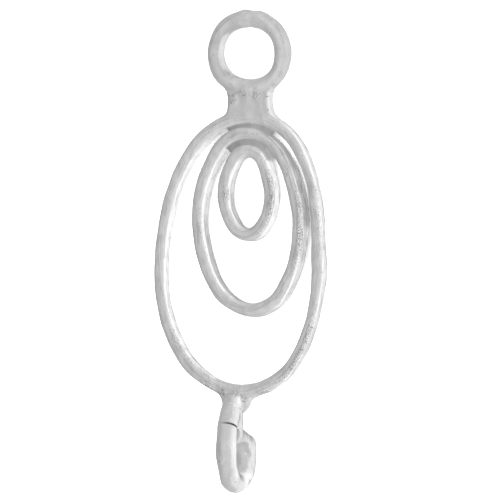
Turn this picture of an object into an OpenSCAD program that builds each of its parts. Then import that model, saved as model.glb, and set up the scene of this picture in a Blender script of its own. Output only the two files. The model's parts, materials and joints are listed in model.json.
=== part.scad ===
// Hollow oval spacer: a silver connector with three nested ovals between a round eye and a cut loop.
// Millimetres. The spacer is drawn flat: x runs across it, y along it to the eye, z out of its front,
// with x = 0 on the line through the eye and the loop and y = 0 at half the height of the outer oval.
// It is then laid on a table, z = 0, on the back of its loop and the back of its eye.

/* [Eye] */
// Radius of the eye, to the middle of its wire
eye_r = 2.1; // [1.9:0.05:2.3]
// Thickness of the eye's round wire
eye_wire = 1.03; // [0.9:0.01:1.2]
// How deep the inside of the eye is worn flat
eye_wear = 0.02; // [0.01:0.005:0.04]
// Distance along the spacer from half the height of the outer oval to the middle of the eye
eye_y = 12; // [11.8:0.05:12.3]

/* [Outer oval] */
// Width, outside
outer_w = 11.14; // [10.6:0.02:11.6]
// Height, outside
outer_h = 17.24; // [17:0.02:17.6]
// How far its top leans to the right, in degrees
outer_lean = 0.9; // [0:0.1:1.5]

/* [Middle oval] */
// Width, outside
middle_w = 7.3; // [7:0.02:7.5]
// Height, outside
middle_h = 11.44; // [11:0.02:11.8]
// How far its top sits to the right of the line
middle_right = 0.2; // [0:0.05:0.4]
// How far it hangs to the right, in degrees
middle_lean = 1.9; // [0:0.1:2.5]

/* [Inner oval] */
// Width, outside
inner_w = 3.82; // [3.5:0.02:4.1]
// Height, outside
inner_h = 5.76; // [5.4:0.02:6.1]
// How far it sits to the right of the line
inner_right = 0.23; // [0:0.01:0.4]

/* [Square wire of the ovals] */
// Width, seen from the front
wire_w = 0.8; // [0.76:0.02:0.88]
// Depth, from front to back
wire_t = 0.87; // [0.8:0.01:0.94]
// How much is rolled off each of its corners
wire_corner = 0.1; // [0.05:0.01:0.14]

/* [Solder] */
// Gap between the outer and the middle oval at their tops
outer_gap = 0.12; // [0.06:0.02:0.2]
// Gap between the middle and the inner oval at their tops
inner_gap = 0.4; // [0.3:0.02:0.46]
// How deep the solder lies under the front and the back of the ovals
solder_sink = 0.16; // [0.1:0.02:0.22]

/* [Neck] */
// Width at its waist
neck_w = 2.67; // [2.4:0.01:2.9]
// Thickness, from front to back
neck_t = 0.9; // [0.88:0.01:0.98]
// How far it leans to the right on its way down from the eye, in degrees
neck_lean = 3.2; // [0:0.2:4]

/* [Loop] */
// Radius of the loop, to the middle of its wire
loop_r = 1.55; // [1.5:0.01:1.6]
// Thickness of the loop's round wire
loop_wire = 1.23; // [1.16:0.01:1.26]
// How deep the inside of the loop is worn flat
loop_wear = 0.02; // [0.01:0.005:0.04]
// Distance along the spacer from half the height of the outer oval to the middle of the loop
loop_y = 12.22; // [12.1:0.02:12.3]
// Width of the saw cut across the front of the loop
cut_gap = 0.1; // [0.06:0.01:0.14]
// How far the cut slopes down towards the back, in degrees
cut_slope = 22; // [18:1:26]

/* [Hidden] */
$fn = 72;

silver = [0.8, 0.8, 0.81];

// An oval's end arcs have this share of its half width as their radius
outer_bend = 0.78;
middle_bend = 0.72;
inner_bend = 0.7;

// The ovals hang one under the other from the top of the outer one
outer_top = outer_h / 2;
middle_top = outer_top - wire_w - outer_gap;
inner_top = middle_top - wire_w - inner_gap;

// Each block of solder reaches this far up into the wall over it and this far down into the one under it
solder_up = wire_w * 0.5;
solder_down = wire_w * 0.84;
outer_solder_w = 3;
inner_solder_w = 2.3;

// Heights of the neck over the middle of the eye: its foot inside the outer oval, its waist, and its head,
// where the round hollow on each side runs out into the eye, neck_sink inside the eye's outline
neck_sink = 0.14;
neck_low = outer_top - wire_w * 0.6 - eye_y;
neck_waist = outer_top + 0.5 - eye_y;
neck_meets_r = eye_r + eye_wire / 2 - neck_sink;
neck_hollow = (neck_w ^ 2 / 4 + neck_waist ^ 2 - neck_meets_r ^ 2) / (2 * neck_meets_r - neck_w);
neck_high = neck_waist * neck_meets_r / (neck_meets_r + neck_hollow) - neck_sink;
neck_blank_w = 4;

// A flared foot under the outer oval carries the stem
foot_low = -outer_top - 1;
foot_w = 1.1;
foot_blank_w = 3.1;
foot_hollow = 1.35;

// The stem leans forward to the cut at the top of the loop's front leg
cut_place = [0, 1.86 - loop_y, loop_r];
stem_top = [-0.15, -outer_top - 0.42, 0.35];
stem_past_cut = 0.5;

// The ring of the loop turns this many degrees up past its back. From there a shoulder and a heel, two
// straight pieces of wire that are thinner by bend_slip and by twice that, rise to the back of the stem.
ring_past_back = 28;
shoulder_low = [0, loop_r * sin(ring_past_back) - loop_y, -loop_r * cos(ring_past_back)];
heel_low = [0, 1.38 - loop_y, 0.6];
heel_top = [0, 2.2 - loop_y, 1.05];
bend_slip = 0.02;

// Bigger than anything that a cut takes away
waste = 6;

// Each arc of an oval slides this far into the one before it, out of wire that is this much thinner
lap = 0.1;
slip = 0.01;

// On the table the back of the loop and the far end of the eye carry the spacer
lie_sine = (loop_r + loop_wire / 2 - eye_wire / 2) / (eye_y + loop_y + eye_r);
lie_tilt = asin(lie_sine);
line_height = loop_r + loop_wire / 2 - loop_y * lie_sine;
eye_reach = (eye_y + eye_r) * cos(lie_tilt) + eye_wire / 2;
loop_reach = loop_y * cos(lie_tilt) + loop_r + loop_wire / 2;

// Radius of an oval's side arc, which meets the end arc without a corner: the oval is half_w wide and
// half_h high from its widest place to its end, and the end arc has the radius end_r
function side_r(half_w, half_h, end_r) =
    (half_w ^ 2 + (half_h - end_r) ^ 2 - end_r ^ 2) / (2 * (half_w - end_r));

// Square wire with its four corners rolled off, thinner by thin
module square_wire(thin) {
    size = [wire_w - thin, wire_t - thin];
    intersection() {
        square(size, center = true);
        circle(r = norm(size) / 2 - wire_corner);
    }
}

// Round wire that is worn flat on its left side, which faces the middle of its ring
module worn_wire(thickness, wear) {
    difference() {
        circle(d = thickness);
        translate([wear - thickness / 2 - waste, -waste / 2])
            square(waste);
    }
}

// The angle that the lap takes up on an arc of the radius r
function lap_angle(r) = lap / r * 180 / PI;

// An arc of square wire with the radius r about the z axis, from one angle to another
module wire_arc(r, from, to, thin) {
    rotate([0, 0, from])
        rotate_extrude(angle = to - from)
            translate([r, 0])
                square_wire(thin);
}

// The upper half of an oval: two side arcs from y = 0 and an end arc over them, w wide and h high outside.
// With thin over 0 the side arcs start lower, inside those of the other half.
module half_oval(w, h, bend, thin) {
    half_w = (w - wire_w) / 2;
    half_h = h - wire_w / 2;
    end_r = bend * half_w;
    flank_r = side_r(half_w, half_h, end_r);
    start = thin > 0 ? -lap_angle(flank_r) : 0;
    meet = atan2(half_h - end_r, flank_r - half_w);
    end_start = meet - lap_angle(end_r);
    translate([half_w - flank_r, 0])
        wire_arc(flank_r, start, meet, thin);
    translate([flank_r - half_w, 0])
        wire_arc(flank_r, 180 - meet, 180 - start, thin);
    translate([0, half_h - end_r])
        wire_arc(end_r, end_start, 180 - end_start, thin + slip);
}

// A whole oval about its middle
module oval(w, h, bend) {
    half_oval(w, h / 2, bend, 0);
    rotate([0, 0, 180])
        half_oval(w, h / 2, bend, slip);
}

// A block between two round hollows, one on each side, that leave the width w of metal at waist_y
module waisted_block(blank_w, low_y, high_y, waist_y, w, hollow_r, t) {
    difference() {
        translate([-blank_w / 2, low_y, -t / 2])
            cube([blank_w, high_y - low_y, t]);
        for (side = [-1, 1])
            translate([side * (w / 2 + hollow_r), waist_y, -t])
                cylinder(r = hollow_r, h = 2 * t);
    }
}

// A block of solder w wide that joins two ovals, where the lower one's top is at top and the gap is over it
module solder(top, gap, w) {
    t = wire_t - 2 * solder_sink;
    translate([-w / 2, top - solder_down, -t / 2])
        cube([w, gap + solder_down + solder_up, t]);
}

// A round rod with a round end at a and a square end, from a to b
module rod(a, b, d) {
    way = b - a;
    translate(a)
        rotate([0, acos(way[2] / norm(way)), atan2(way[1], way[0])])
            rotate_extrude() {
                square([d / 2, norm(way)]);
                intersection() {
                    circle(d = d);
                    translate([0, -d])
                        square(d);
                }
            }
}

// What lies on the stem's side of the cut, or with side = -1 on the loop's side
module side_of_cut(side) {
    translate(cut_place)
        rotate([-cut_slope, 0, 0])
            translate([-waste / 2, side > 0 ? cut_gap / 2 : -cut_gap / 2 - waste, -waste / 2])
                cube(waste);
}

module eye() {
    translate([0, eye_y])
        rotate_extrude()
            translate([eye_r, 0])
                worn_wire(eye_wire, eye_wear);
}

module neck() {
    translate([0, eye_y])
        rotate([0, 0, neck_lean])
            difference() {
                waisted_block(neck_blank_w, neck_low, neck_high, neck_waist, neck_w, neck_hollow, neck_t);
                translate([0, 0, -neck_t])
                    cylinder(r = eye_r, h = 2 * neck_t);
            }
}

module outer_oval() {
    rotate([0, 0, -outer_lean])
        oval(outer_w, outer_h, outer_bend);
}

module middle_oval() {
    translate([middle_right, middle_top])
        rotate([0, 0, middle_lean])
            translate([0, -middle_h / 2])
                oval(middle_w, middle_h, middle_bend);
    translate([middle_right / 2, 0])
        solder(middle_top, outer_gap, outer_solder_w);
}

module inner_oval() {
    translate([inner_right, inner_top - inner_h / 2])
        oval(inner_w, inner_h, inner_bend);
    translate([inner_right, 0])
        solder(inner_top, inner_gap, inner_solder_w);
}

module foot() {
    waisted_block(foot_blank_w, foot_low, wire_w * 0.6 - outer_top, foot_low, foot_w, foot_hollow, wire_t * 0.9);
}

module stem() {
    past = cut_place + stem_past_cut * (cut_place - stem_top) / norm(cut_place - stem_top);
    intersection() {
        rod(stem_top, past, loop_wire);
        side_of_cut(1);
    }
}

// The shoulder and the heel, with the loop's round hollow in them and with room for the front leg
module shoulder() {
    difference() {
        union() {
            rod(shoulder_low, heel_low, loop_wire - bend_slip);
            rod(heel_low, heel_top, loop_wire - 2 * bend_slip);
        }
        translate([-waste / 2, -loop_y])
            rotate([0, 90, 0])
                cylinder(r = loop_r - loop_wire / 2 + loop_wear, h = waste);
        intersection() {
            translate([-waste / 2, -loop_y, loop_r - loop_wire / 2 - cut_gap])
                cube(waste);
            translate([0, cut_gap, 0])
                side_of_cut(-1);
        }
    }
}

// The loop stands across the ovals: its ring starts at the front and runs under and up at the back, and its
// front leg goes straight up to the cut
module loop() {
    translate([0, -loop_y])
        rotate([180, -90, 0])
            rotate_extrude(angle = 180 + ring_past_back)
                translate([loop_r, 0])
                    worn_wire(loop_wire, loop_wear);
    intersection() {
        translate([0, -loop_y])
            rotate([180, -90, 0])
                translate([loop_r, 0])
                    rotate([90, 0, 0])
                        linear_extrude(waste)
                            worn_wire(loop_wire, loop_wear);
        side_of_cut(-1);
    }
}

module oval_spacer() {
    color(silver)
        translate([0, (loop_reach - eye_reach) / 2, line_height])
            rotate([-lie_tilt, 0, 0]) {
                eye();
                neck();
                outer_oval();
                middle_oval();
                inner_oval();
                foot();
                stem();
                shoulder();
                loop();
            }
}

oval_spacer();
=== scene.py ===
"""A silver spacer: three ovals hung one in the other between a round eye and a cut loop, lying on a table.

Laid out as a Blender add-on and run as a script. Every object is in metres in the frame of the packed model.
The sizes below are worked on in millimetres, with the spacer drawn flat: x across it, y along it towards the
eye, z out of its front. It is tilted on to the table at the end.
"""

import json
import math
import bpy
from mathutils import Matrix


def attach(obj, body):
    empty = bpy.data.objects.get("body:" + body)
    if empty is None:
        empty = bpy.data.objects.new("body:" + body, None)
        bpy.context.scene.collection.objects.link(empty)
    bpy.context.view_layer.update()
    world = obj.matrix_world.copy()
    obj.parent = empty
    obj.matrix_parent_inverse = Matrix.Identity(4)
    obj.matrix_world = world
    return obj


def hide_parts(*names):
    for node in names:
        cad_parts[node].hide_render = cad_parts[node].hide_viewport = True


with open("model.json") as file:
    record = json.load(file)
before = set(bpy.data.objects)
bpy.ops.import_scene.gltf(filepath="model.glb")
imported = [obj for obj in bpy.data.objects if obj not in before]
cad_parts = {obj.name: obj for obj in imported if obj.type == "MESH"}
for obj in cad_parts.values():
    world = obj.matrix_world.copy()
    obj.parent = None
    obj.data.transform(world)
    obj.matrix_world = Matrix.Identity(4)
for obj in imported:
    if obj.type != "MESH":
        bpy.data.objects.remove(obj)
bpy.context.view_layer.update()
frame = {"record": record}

from types import SimpleNamespace

import bpy
import numpy as np
from mathutils import Matrix, Vector

bl_info = {
    "name": "Silver spacer",
    "version": (1, 0, 0),
    "blender": (4, 5, 0),
    "location": "View3D > Sidebar > Spacer",
    "description": "Builds a silver jewellery spacer with nested ovals, and the table it lies on",
    "category": "Object",
}

NODE = "oval_spacer"
SLOT = "silver"
PIECE = "silver_spacer"
MM = 0.001
SEED = 11


# Settings

# A plain silver, for a record without one, and how much brighter the polished metal is than the record says
PLAIN_SILVER = (0.8, 0.8, 0.81)
POLISH = 1.2


def length(name, description, millimetres):
    """A length property, given in millimetres and held in metres."""
    return bpy.props.FloatProperty(
        name=name, description=description, default=millimetres * MM, min=0.0, unit="LENGTH", precision=5
    )


def share(name, description, value):
    """A property between nothing and all."""
    return bpy.props.FloatProperty(
        name=name, description=description, default=value, min=0.0, max=1.0, subtype="FACTOR"
    )


def colour(name, description, value):
    """A colour property."""
    return bpy.props.FloatVectorProperty(
        name=name, description=description, default=value, size=3, min=0.0, max=1.0, subtype="COLOR"
    )


def turning(name, description, degrees):
    """An angle property, given in degrees and held in radians."""
    return bpy.props.FloatProperty(
        name=name, description=description, default=math.radians(degrees), subtype="ANGLE"
    )


def slot_colour():
    """The colour that the packed record gives for the silver, or a plain one."""
    for material in frame["record"].get("materials", []):
        if material.get("slot") == SLOT:
            return tuple(material["base_color"])
    return PLAIN_SILVER


class SpacerEye(bpy.types.PropertyGroup):
    """Sizes of the eye and the neck under it."""

    height: length("Height", "From half the height of the outer oval to the middle of the eye", 12.0)
    half_across: length("Half width", "Sideways from the middle of the eye to the middle of its wire", 2.17)
    half_along: length("Half height", "Lengthways from the middle of the eye to the middle of its wire", 2.06)
    wire: length("Wire", "Thickness of the eye's round wire", 1.03)
    seam: length("Seam depth", "Depth of the groove where the ends of the wire meet", 0.012)
    neck_width: length("Neck width", "Width of the neck at its waist", 2.67)
    neck_depth: length("Neck depth", "Thickness of the neck from front to back", 0.9)


class SpacerOvals(bpy.types.PropertyGroup):
    """Sizes of the three ovals and their wire."""

    outer_width: length("Outer width", "Width of the outer oval", 11.14)
    outer_height: length("Outer height", "Height of the outer oval", 17.24)
    middle_width: length("Middle width", "Width of the middle oval", 7.3)
    middle_height: length("Middle height", "Height of the middle oval", 11.44)
    inner_width: length("Inner width", "Width of the inner oval", 3.82)
    inner_height: length("Inner height", "Height of the inner oval", 5.76)
    wire_width: length("Wire width", "Width of the wire, seen from the front", 0.8)
    wire_depth: length("Wire depth", "Thickness of the wire from front to back", 0.87)
    outer_gap: length("Outer gap", "Gap between the outer and the middle oval at their tops", 0.12)
    inner_gap: length("Inner gap", "Gap between the middle and the inner oval at their tops", 0.4)
    solder_sink: length("Solder sink", "How deep the solder lies under the faces of the ovals", 0.16)


class SpacerLoop(bpy.types.PropertyGroup):
    """Sizes of the cut loop and its stem."""

    drop: length("Drop", "From half the height of the outer oval down to the middle of the loop", 12.22)
    radius: length("Radius", "From the middle of the loop to the middle of its wire", 1.55)
    wire: length("Wire", "Thickness of the loop's round wire", 1.23)
    cut: length("Cut", "Width of the saw cut across the front of the loop", 0.07)


class SpacerFinish(bpy.types.PropertyGroup):
    """Colours and finish of the silver."""

    silver: colour("Silver", "Colour of the polished silver", tuple(c * POLISH for c in slot_colour()))
    solder: colour("Solder", "Colour of the dull solder", (0.86, 0.86, 0.86))
    # One colour for the tarnish and for the painted shade in the hollows, the beds, the saw cut and on the
    # side faces
    tarnish_and_shade: colour("Tarnish_and_shade", "Colour of the tarnish in the hollows", (0.3, 0.3, 0.3))
    roughness: share("Roughness", "Roughness of the polished silver", 0.15)
    dullness: share("Dullness", "How much rougher the solder is", 0.22)
    pits: share("Pits", "How much of the corners is pitted", 0.5)
    specks: share("Specks", "How dark the specks along the corners are", 0.7)


class SpacerStage(bpy.types.PropertyGroup):
    """The table, the light and the camera."""

    table: colour("Table", "Colour of the table", (0.9, 0.9, 0.9))
    top_light: bpy.props.FloatProperty(
        name="Top light",
        description="Power of the soft light over the table",
        default=10.0,
        min=0.0,
        unit="POWER",
    )
    room: share("Room", "Brightness of the room over the table", 0.67)
    left_slope: share("Left slope", "How much darker the room gets from its middle to the left", 0.25)
    right_slope: share("Right slope", "How much brighter the room gets from its middle to the right", 0.16)
    low_right: share("Low right", "How much brighter the room is low at the right", 0.32)
    under: share("Under", "How much darker the room is straight under the spacer", 0.18)
    turn: turning("Turn", "How far the camera stands to the right of the front", 23.0)
    lean: turning("Lean", "How far the spacer leans to the right in the picture", 1.9)


GROUPS = {
    "spacer_eye": SpacerEye,
    "spacer_ovals": SpacerOvals,
    "spacer_loop": SpacerLoop,
    "spacer_finish": SpacerFinish,
    "spacer_stage": SpacerStage,
}


def in_millimetres(group):
    """The lengths of a property group as plain numbers in millimetres."""
    names = type(group).__annotations__
    return SimpleNamespace(**{name: getattr(group, name) / MM for name in names})


# How the flat drawing lies on the table. The back of the loop and the far end of the eye carry it.

EYE_MIDDLE = 12.0
EYE_RADIUS = 2.1
EYE_WIRE = 1.03
LOOP_MIDDLE = 12.22
LOOP_RADIUS = 1.55
LOOP_WIRE = 1.23
LOOP_BACK = LOOP_RADIUS + LOOP_WIRE / 2
LIE_SINE = (LOOP_BACK - EYE_WIRE / 2) / (EYE_MIDDLE + LOOP_MIDDLE + EYE_RADIUS)
LIE_COSINE = math.sqrt(1 - LIE_SINE**2)
EYE_REACH = (EYE_MIDDLE + EYE_RADIUS) * LIE_COSINE + EYE_WIRE / 2
LOOP_REACH = LOOP_MIDDLE * LIE_COSINE + LOOP_BACK
SHIFT_ALONG = (LOOP_REACH - EYE_REACH) / 2
SHIFT_UP = LOOP_BACK - LOOP_MIDDLE * LIE_SINE


def turned_to_table(points):
    """Turns directions of the flat drawing about x, so that the eye's end goes down."""
    x, y, z = np.moveaxis(np.asarray(points, float), -1, 0)
    return np.stack([x, y * LIE_COSINE + z * LIE_SINE, z * LIE_COSINE - y * LIE_SINE], axis=-1)


def laid_on_table(points):
    """Turns points of the flat drawing about x and moves them to their place in the row frame, in metres."""
    return (turned_to_table(points) + (0.0, SHIFT_ALONG, SHIFT_UP)) * MM


# Fields. Each one gives, at every point, about how far the point is outside a shape, in millimetres, and is
# negative inside it. The shape's surface is where the field is nothing.


def join(a, b, fillet):
    """Both shapes: the lower field, and where the two differ by less than fillet, up to a quarter of fillet
    lower still, as a parabola, so that a round fillet runs between them."""
    part = np.clip(0.5 + 0.5 * (b - a) / fillet, 0.0, 1.0)
    return b + (a - b) * part - fillet * part * (1.0 - part)


def cut(a, b, fillet):
    """What both shapes have in common, with a rounded edge: join turned inside out."""
    return -join(-a, -b, fillet)


def bump(value, middle, spread):
    """A bell curve: e to the minus square of the distance from the middle over the spread."""
    return np.exp(-(((value - middle) / spread) ** 2))


def turned(x, y, degrees):
    """x and y of a drawing that is turned by the angle, counted from x towards y."""
    sine = math.sin(math.radians(degrees))
    cosine = math.cos(math.radians(degrees))
    return x * cosine + y * sine, y * cosine - x * sine


def rounded(over_side, over_face, edge):
    """A shape with rounded edges, from how far a point is over its side and over its face: the distance to a
    shape that is smaller by the radius edge, less that radius."""
    over_side = over_side + edge
    over_face = over_face + edge
    outside = np.hypot(np.maximum(over_side, 0.0), np.maximum(over_face, 0.0))
    return outside + np.minimum(np.maximum(over_side, over_face), 0.0) - edge


# Radius of the wire's corners, and how far its front and its sides fall away at their edges
ROLLED = 0.17
FRONT_CROWN = 0.085
SIDE_CROWN = 0.02


def rolled_wire(across, depth, half_width, half_depth):
    """Square wire with round corners and crowned faces. Each face falls away from its middle with the square
    of the distance."""
    over_side = np.abs(across) + SIDE_CROWN * (depth / half_depth) ** 2 - half_width
    over_front = np.abs(depth) + FRONT_CROWN * (across / half_width) ** 2 - half_depth
    return rounded(over_side, over_front, ROLLED)


def oval_line(x, y, half_width, half_height, bend):
    """How far a point is outside an oval line of four arcs. The end arcs have the radius bend times the half
    width, and each flank's arc meets them without a corner."""
    end_radius = bend * half_width
    end_up = half_height - end_radius
    flank_radius = (half_width**2 + end_up**2 - end_radius**2) / (2 * (half_width - end_radius))
    inset = flank_radius - half_width
    along = np.abs(y)
    across = np.abs(x)
    at_end = along * inset > (across + inset) * end_up
    end = np.hypot(across, along - end_up) - end_radius
    flank = np.hypot(across + inset, along) - flank_radius
    return np.where(at_end, end, flank)


def rod(x, y, z, start, end, thickness):
    """Round wire: the distance to the nearest place from start to end, less half the thickness."""
    way = np.subtract(end, start)
    run = ((x - start[0]) * way[0] + (y - start[1]) * way[1] + (z - start[2]) * way[2]) / way.dot(way)
    run = np.clip(run, 0.0, 1.0)
    aside = (x - start[0] - run * way[0]) ** 2 + (y - start[1] - run * way[1]) ** 2
    return np.sqrt(aside + (z - start[2] - run * way[2]) ** 2) - thickness / 2


# The spacer's pieces. Angles round an oval or the eye are counted in degrees from its top to the right. The
# ovals are always taken in the order outer, middle, inner.

OUTER_BEND = 0.78
MIDDLE_BEND = 0.72
INNER_BEND = 0.7
OUTER_LEAN = -0.9
MIDDLE_LEAN = 1.9
MIDDLE_RIGHT = 0.2
INNER_RIGHT = 0.23

# Half of how much further back each oval's wire reaches: all round, and more on its right flank
DEEPER = ((0.0, 0.0), (0.14, 0.13), (0.12, 0.0))
DEEPEST_AT = 62.0
DEEPEST_SPREAD = 24.0

# Hand work on the ovals: at an angle, over a spread, the line moves outwards and the wire gets narrower
OUTER_MOVES = (
    (38, 20, 0.05, 0.11), (80, 34, -0.27, 0), (103, 16, 0.05, -0.1), (130, 28, 0, 0.08), (146, 24, 0.24, 0),
    (198, 12, -0.08, 0), (232, 27, 0.27, 0), (270, 25, 0.06, 0), (312, 16, 0.06, 0), (342, 14, -0.13, 0),
)
MIDDLE_MOVES = (
    (14, 24, -0.15, 0.16), (55, 25, -0.12, 0), (150, 30, 0.17, 0), (194, 10, -0.08, 0), (300, 45, 0.1, 0),
)
INNER_MOVES = ((0, 30, 0.08, 0), (45, 45, -0.1, 0), (150, 30, 0.07, 0), (200, 20, -0.05, 0))
MOVES = (OUTER_MOVES, MIDDLE_MOVES, INNER_MOVES)

# The eye's line moves outwards at an angle, over a spread
EYE_MOVES = ((40, 30, 0.04), (135, 25, 0.06), (235, 25, 0.05), (315, 35, 0.09))

# The butt seam of the eye and the two lumps beside it: angle, spread and height
SEAM_LUMPS = ((-9.5, 6.0, 0.07), (16.5, 9.0, 0.045))
SEAM_ANGLE = 3.4
SEAM_SPREAD = 5.0

# The beds: how far they run under the ovals above and below, and for each one how far to the right its sides
# meet and the angles of its left and right side
SOLDER_UP = 0.4
SOLDER_DOWN = 0.67
OUTER_BED = (0.33, 31.0, 31.0)
INNER_BED = (0.2, 48.0, 68.0)
BED_EDGE = 0.08

# The neck: how deep it sinks into the eye, how far its waist is over the outer oval's top, the share of the
# oval's wire that it covers, and its half width before its hollows are cut
NECK_LEAN = 3.2
NECK_SINK = 0.14
NECK_WAIST_UP = 0.5
NECK_COVERS = 0.6
NECK_BLANK = 2.0
NECK_EDGE = 0.22

# The foot: the least width of each side and how much the flare adds, how far it reaches up and down, the
# flare's length and share, the slope of its lower edge, how steep its field is, and its edges and depth
FOOT_LEFT = (0.86, 0.42)
FOOT_RIGHT = (0.55, 0.84)
FOOT_UP = 0.4
FOOT_DROP = 1.05
FOOT_FLARE = 0.32
FLARE_SHARE = 0.55
FOOT_STEEP = 0.75
FOOT_SLOPE = 0.5
FOOT_LEVEL = 0.9
FOOT_ROUND = 0.3
FOOT_DEPTH = 0.45
FOOT_EDGE = 0.16

# The loop: the cut's height over its middle and its slope, how far the leg and the stem would run without the
# cut, how far the ring runs on behind, and how much the shoulder and the heel are thinner than the wire
CUT_UP = 1.86
CUT_SLOPE = 22.0
CUT_EDGE = 0.05
LEG_RUN = 3.0
STEM_PAST_CUT = 0.9
STEM_TOP = (-0.15, -9.04, 0.35)
RING_PAST_BACK = 28.0
HEEL_LOW = (0.0, -10.84, 0.6)
HEEL_TOP = (-0.05, -9.7, 0.55)
HEEL_FILLET = 0.1
BACK_FILLET = 0.12
SHOULDER_LESS = 0.02
HEEL_LESS = 0.04
BORE_MORE = 0.02
BORE_EDGE = 0.06
LEG_ROOM_UP = 0.043

# Where the loop is worn, over which spread, and how far its wire is pushed to the right and thinned there
WORN_AT = -0.85
WORN_SPREAD = 0.6
WORN_RIGHT = 0.07
WORN_THIN = 0.04

# Radii of the fillets between the pieces, and of the edge where a piece touches the table
BED_FILLET = 0.06
NECK_FILLET = 0.14
EYE_FILLET = 0.16
FOOT_FILLET = 0.16
STEM_FILLET = 0.16
TABLE_EDGE = 0.04

# Lengths and heights of the long, low waves of the surface
WAVES = ((1.1, 0.007), (1.7, 0.009), (2.6, 0.012), (4.1, 0.014))

# Dents in the loop: place, how far they reach and how deep they are
DENTS = (
    ((0.24, -12.05, 2.12), 0.17, 0.14),
    ((0.18, -12.6, 2.13), 0.13, 0.08),
    ((0.33, -12.05, -1.03), 0.18, 0.14),
)


def round_angle(x, y):
    """The angle of a point from the top to the right, in degrees from -180 to 180."""
    return np.degrees(np.arctan2(x, y))


def bells(angle, rows):
    """Sums of bell curves round a ring. Each row has the angle and the spread of its bells, and the height of
    its bell in each sum."""
    sums = [0.0] * (len(rows[0]) - 2)
    for middle, spread, *heights in rows:
        away = (angle - middle + 180.0) % 360.0 - 180.0
        bell = bump(away, 0.0, spread)
        sums = [total + height * bell for total, height in zip(sums, heights)]
    return sums


def tops(ovals):
    """The heights of the tops of the three ovals."""
    outer = ovals.outer_height / 2
    middle = outer - ovals.wire_width - ovals.outer_gap
    inner = middle - ovals.wire_width - ovals.inner_gap
    return outer, middle, inner


def oval_lines(x, y, ovals):
    """For each oval, how far a point is outside the middle line of its wire, the point's angle round the oval
    and its height over the oval's middle. The ovals lean about their middle or their top."""
    _, middle_top, inner_top = tops(ovals)
    outer_x, outer_y = turned(x, y, OUTER_LEAN)
    middle_x, middle_y = turned(x - MIDDLE_RIGHT, y - middle_top, MIDDLE_LEAN)
    middle_y = middle_y + ovals.middle_height / 2
    inner_y = y - inner_top + ovals.inner_height / 2
    shapes = (
        (ovals.outer_width, ovals.outer_height, OUTER_BEND, outer_x, outer_y),
        (ovals.middle_width, ovals.middle_height, MIDDLE_BEND, middle_x, middle_y),
        (ovals.inner_width, ovals.inner_height, INNER_BEND, x - INNER_RIGHT, inner_y),
    )
    wire = ovals.wire_width
    lines = []
    for width, height, bend, flat_x, flat_y in shapes:
        line = oval_line(flat_x, flat_y, (width - wire) / 2, (height - wire) / 2, bend)
        lines.append((line, round_angle(flat_x, flat_y), flat_y))
    return lines


def ovals_field(x, y, z, ovals):
    """The three ovals: rolled wire carried along each oval line, which hand work has moved here and there."""
    nearest = np.inf
    for (line, angle, _), work, (all_round, flank) in zip(oval_lines(x, y, ovals), MOVES, DEEPER):
        outward, narrower = bells(angle, work)
        back = all_round + flank * bump(angle, DEEPEST_AT, DEEPEST_SPREAD)
        half_width = (ovals.wire_width - narrower) / 2
        oval = rolled_wire(line - outward, z + back, half_width, ovals.wire_depth / 2 + back)
        nearest = np.minimum(nearest, oval)
    return nearest


def beds_field(x, y, z, ovals):
    """The two beds of solder between the tops of the ovals, sunk under their faces. Each one is a strip
    between two lines that run out from the middle of the oval's top arc."""
    half_depth = ovals.wire_depth / 2 - ovals.solder_sink
    _, middle_top, inner_top = tops(ovals)
    beds = (
        (middle_top, ovals.outer_gap, OUTER_BED, ovals.middle_width, MIDDLE_BEND),
        (inner_top, ovals.inner_gap, INNER_BED, ovals.inner_width, INNER_BEND),
    )
    both = np.inf
    for top, gap, (right, left_angle, right_angle), width, bend in beds:
        start = top - ovals.wire_width / 2 - bend * (width - ovals.wire_width) / 2
        over_left, _ = turned(right - x, y - start, -left_angle)
        over_right, _ = turned(x - right, y - start, -right_angle)
        away = np.hypot(x - right, y - start)
        strip = np.abs(away - (top - start) - (gap + SOLDER_UP - SOLDER_DOWN) / 2)
        strip = strip - (gap + SOLDER_UP + SOLDER_DOWN) / 2
        flat = np.maximum(np.maximum(over_left, over_right), strip)
        both = np.minimum(both, rounded(flat, np.abs(z) - half_depth, BED_EDGE))
    return both


def eye_field(x, y, z, eye):
    """Round wire carried round the eye. The line's radius swings between its two half sizes with the cosine
    of twice the angle. The lumps swell the wire's outside, and the seam's groove is a narrow bell."""
    up = y - eye.height
    angle = round_angle(x, up)
    mean = (eye.half_across + eye.half_along) / 2
    swing = (eye.half_across - eye.half_along) / 2
    (outward,) = bells(angle, EYE_MOVES)
    line = mean - swing * np.cos(np.radians(2 * angle)) + outward
    outside = np.clip((np.hypot(x, up) - line) / eye.wire * 2, 0.0, 1.0) ** 2
    (lumps,) = bells(angle, SEAM_LUMPS)
    thick = eye.wire / 2 + lumps * outside - eye.seam * bump(angle, SEAM_ANGLE, SEAM_SPREAD)
    return np.hypot(np.hypot(x, up) - line, z) - thick


def neck_field(x, y, z, eye, ovals):
    """The neck between the eye and the outer oval: a block between two round hollows that leave its width of
    metal between them and run out into the eye."""
    x, y = turned(x, y - eye.height, NECK_LEAN)
    top = ovals.outer_height / 2 - eye.height
    waist = top + NECK_WAIST_UP
    meets = (eye.half_across + eye.half_along) / 2 + eye.wire / 2 - NECK_SINK
    half = eye.neck_width / 2
    hollow = (half**2 + waist**2 - meets**2) / (2 * (meets - half))
    ends = np.maximum(top - ovals.wire_width * NECK_COVERS - y, y + eye.half_along)
    block = np.maximum(np.abs(x) - NECK_BLANK, ends)
    flat = np.maximum(block, hollow - np.hypot(np.abs(x) - half - hollow, y - waist))
    return rounded(flat, np.abs(z) - eye.neck_depth / 2, NECK_EDGE)


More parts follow.
